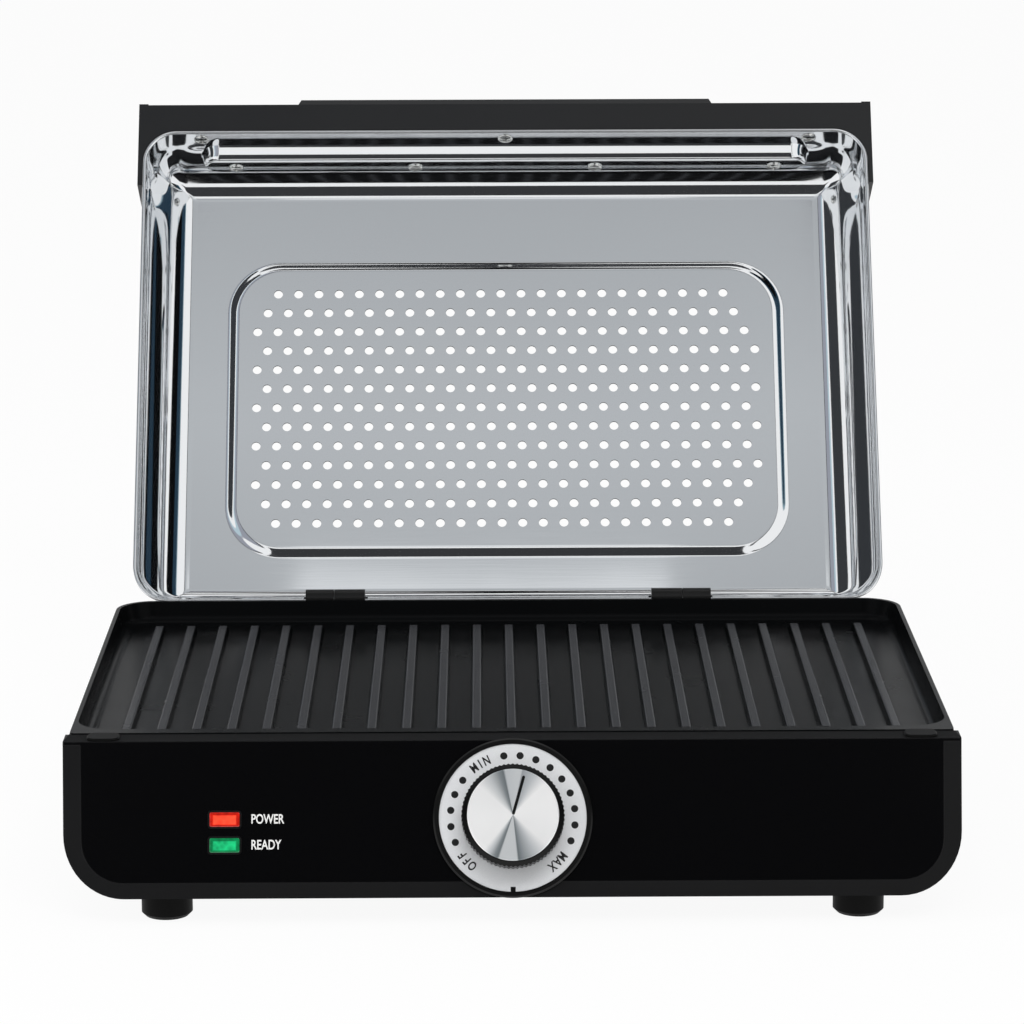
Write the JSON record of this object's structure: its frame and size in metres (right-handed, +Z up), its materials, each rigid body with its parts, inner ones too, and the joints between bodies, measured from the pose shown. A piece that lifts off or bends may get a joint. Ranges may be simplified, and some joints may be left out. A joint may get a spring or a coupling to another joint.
{
  "type": "plancha grill",
  "caption": "table-top plancha grill: ribbed plate over a tubular heater in a black housing, hinged perforated steel lid, thermostat dial and a drip tray that slides out",
  "frame": {"origin": "middle of the bounding box at the height of the table, with the lid open as in the picture", "axes": "+X to the user's right, +Y from the front to the back along the open lid's reach, +Z up"},
  "size_m": [0.41, 0.5064, 0.3258],
  "materials": {
    "housing_black": "satin moulded heat-resistant plastic",
    "fascia_gloss": "high-gloss black moulding",
    "trim_black": "satin black moulding",
    "handle_black": "fine satin grain",
    "knob_black": "satin black moulding with a knurled edge",
    "rubber_black": "matt black rubber",
    "lid_steel": "drawn stainless sheet, polished",
    "screw_steel": "bright steel fastener",
    "zinc_steel": "bright zinc-plated sheet steel",
    "bright_sheet": "aluminised bright sheet",
    "tray_steel": "dark non-stick coating on pressed steel",
    "plate_coating": "black non-stick coating on die-cast aluminium",
    "element_steel": "heat-darkened steel tube",
    "ceramic_white": "unglazed steatite ceramic",
    "copper_tube": "drawn copper tube",
    "wire_sleeve": "woven glass sleeving",
    "scale_aluminium": "fine satin aluminium with printed marks",
    "cap_aluminium": "spun aluminium with fine concentric lines",
    "lens_red": "clear red lamp lens",
    "lens_green": "clear green lamp lens"
  },
  "bodies": {
    "base": {"base_housing": "housing_black", "front_fascia": "fascia_gloss", "ledge_pads": "rubber_black", "dial_collar": "trim_black", "dial_scale_ring": "scale_aluminium", "power_lamp_lens": "lens_red", "ready_lamp_lens": "lens_green", "lamp_bezels": "trim_black", "thermostat_body": "ceramic_white", "thermostat_bracket": "zinc_steel", "thermostat_nut": "zinc_steel", "grill_plate": "plate_coating", "heating_element": "element_steel", "element_beads": "ceramic_white", "element_tabs": "zinc_steel", "element_clips": "zinc_steel", "heat_reflector": "bright_sheet", "reflector_screws": "zinc_steel", "sensor_bulb": "copper_tube", "bulb_clips": "zinc_steel", "tray_rail_left": "zinc_steel", "tray_rail_right": "zinc_steel", "cable_gland": "trim_black", "terminal_block": "ceramic_white", "thermal_fuse": "zinc_steel", "wires": "wire_sleeve", "hinge_post_left": "trim_black", "hinge_post_right": "trim_black", "hinge_pin_left": "zinc_steel", "hinge_pin_right": "zinc_steel", "hinge_post_screws": "zinc_steel", "foot_front_left": "rubber_black", "foot_front_right": "rubber_black", "foot_rear_left": "rubber_black", "foot_rear_right": "rubber_black", "foot_screws": "zinc_steel"},
    "lid": {"lid_shell": "lid_steel", "lid_handle": "handle_black", "rim_screws": "screw_steel", "channel_screws": "screw_steel", "hinge_arm_left": "trim_black", "hinge_arm_right": "trim_black", "hinge_arm_rivets": "screw_steel"},
    "knob": {"knob_skirt": "knob_black", "knob_cap": "cap_aluminium", "knob_pointer": "trim_black", "thermostat_spindle": "zinc_steel"},
    "drip_tray": {"drip_tray": "tray_steel", "tray_pull": "housing_black"}
  },
  "joints": [
    {"name": "lid_hinge", "type": "hinge", "parent": "base", "child": "lid", "pos_m": [0, 0.07615, 0.08], "axis": [1, 0, 0], "range_deg": [0, 121]},
    {"name": "knob_turn", "type": "hinge", "parent": "base", "child": "knob", "pos_m": [0, -0.22583, 0.04705], "axis": [0, 0.9397, -0.342], "range_deg": [-149, 118.7]},
    {"name": "tray_slide", "type": "slide", "parent": "base", "child": "drip_tray", "axis": [0, 1, 0], "range_m": [0, 0.19]}
  ]
}
